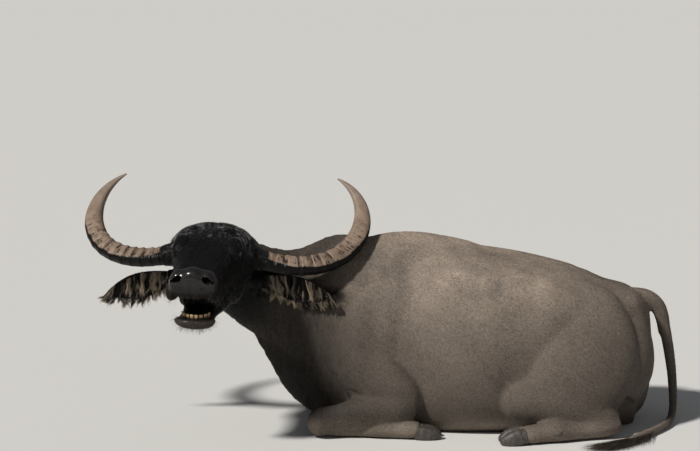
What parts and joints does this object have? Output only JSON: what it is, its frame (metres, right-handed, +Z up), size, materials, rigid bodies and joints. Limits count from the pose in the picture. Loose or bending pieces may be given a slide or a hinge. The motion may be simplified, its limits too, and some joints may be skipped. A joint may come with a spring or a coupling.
{
  "type": "water buffalo",
  "caption": "Life-size still model of a water buffalo cow lying on its brisket, legs folded, head turned left with the mouth open and crescent horns.",
  "frame": {"origin": "middle of the animal's outline seen from above, on the floor that it lies on", "axes": "+X from the head end to the tail, +Y to the animal's right side, +Z up"},
  "size_m": [2.2256, 1.099, 0.916],
  "materials": {
    "hide": "dusty grey-brown hide with thin short hair",
    "face": "near-black damp hide, glossier on the nose pad",
    "ear_hair": "brown and tan hair over dark skin",
    "horn": "ridged tan horn, dark below",
    "eye": "wet dark eyeball",
    "hoof": "dull dark hoof horn"
  },
  "bodies": {
    "root": {"torso": "hide", "neck": "hide", "fore_leg_left": "hide", "fore_leg_right": "hide", "hind_leg_left": "hide", "hind_leg_right": "hide", "tail": "hide", "tail_brush": "hide", "head": "face", "lower_jaw": "face", "ear_left": "ear_hair", "ear_right": "ear_hair", "horn_left": "horn", "horn_right": "horn", "eye_left": "eye", "eye_right": "eye", "fore_hoof_left_inner": "hoof", "fore_hoof_left_outer": "hoof", "fore_hoof_right_inner": "hoof", "fore_hoof_right_outer": "hoof", "hind_hoof_left_inner": "hoof", "hind_hoof_left_outer": "hoof", "hind_hoof_right_inner": "hoof", "hind_hoof_right_outer": "hoof"}
  },
  "joints": []
}
